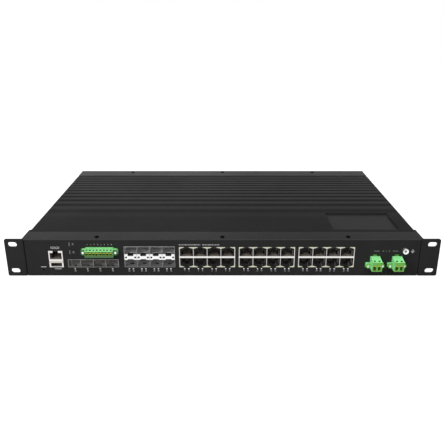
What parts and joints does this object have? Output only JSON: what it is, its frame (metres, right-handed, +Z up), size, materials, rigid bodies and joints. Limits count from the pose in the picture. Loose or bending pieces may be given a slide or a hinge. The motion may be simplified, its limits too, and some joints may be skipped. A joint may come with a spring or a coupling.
{
  "type": "ethernet switch",
  "caption": "Fanless network switch for a rack: flat black case with slotted ears, a ribbed cooling lid, and a front panel of jacks, module cages and green screw terminals.",
  "frame": {"origin": "centre of the four ear slots, on the back face of the ears, where they meet the rack", "axes": "+X to the right along the front panel, +Y from the panel to the rear, +Z up"},
  "size_m": [0.4826, 0.2955, 0.0451],
  "materials": {
    "case_black": "fine matte black powder coat",
    "lid_black": "black anodised, finned",
    "screw_black": "blackened steel",
    "shield": "bright tinned sheet",
    "cage": "nickel-plated sheet",
    "black_plastic": "moulded",
    "green_plastic": "moulded, light green",
    "ivory_plastic": "moulded",
    "clear": "clear moulding",
    "board": "black solder mask",
    "chip": "moulded package",
    "pad": "soft pad",
    "aluminium": "milled",
    "brass": "plain",
    "steel": "zinc plated",
    "capacitor": "film capacitor case",
    "core": "ferrite core"
  },
  "bodies": {
    "switch": {"alarm_header": "green_plastic", "alarm_jaws": "brass", "alarm_plug": "green_plastic", "board_link": "black_plastic", "board_standoffs": "steel", "bottom_tray": "case_black", "capacitors": "capacitor", "case_screw_heads": "screw_black", "console_housing": "black_plastic", "console_shield": "shield", "cooled_chips": "chip", "ear_screw_heads": "screw_black", "earth_screw": "steel", "front_panel": "case_black", "heat_blocks": "aluminium", "main_board": "board", "memory_chips": "chip", "port_light_bars": "clear", "power_board": "board", "power_header_1": "green_plastic", "power_header_2": "green_plastic", "power_jaws": "brass", "power_plug_1": "green_plastic", "power_plug_2": "green_plastic", "rack_ear_left": "case_black", "rack_ear_right": "case_black", "rear_panel": "case_black", "reset_switch": "black_plastic", "ribbed_lid": "lid_black", "rj45_housing_1": "black_plastic", "rj45_housing_2": "black_plastic", "rj45_housing_3": "black_plastic", "rj45_inserts_1": "black_plastic", "rj45_inserts_2": "black_plastic", "rj45_inserts_3": "black_plastic", "rj45_shield_1": "shield", "rj45_shield_2": "shield", "rj45_shield_3": "shield", "sfp_cage": "cage", "sfp_cage_base": "cage", "sfp_dividers": "cage", "sfp_edge_connectors": "black_plastic", "sfp_light_pipes": "clear", "sfp_plus_base": "cage", "sfp_plus_cage": "cage", "sfp_plus_dividers": "cage", "sfp_plus_edge_connectors": "black_plastic", "sfp_separators": "cage", "system_light_tower": "clear", "terminal_board": "board", "terminal_board_standoffs": "steel", "thermal_pads": "pad", "transformer": "core", "usb_tongue": "ivory_plastic"},
    "reset": {"reset_button": "black_plastic"}
  },
  "joints": [
    {"name": "reset_press", "type": "slide", "parent": "switch", "child": "reset", "axis": [0, 1, 0], "range_m": [0, 0.0003], "stiffness_N_per_m": 300}
  ]
}
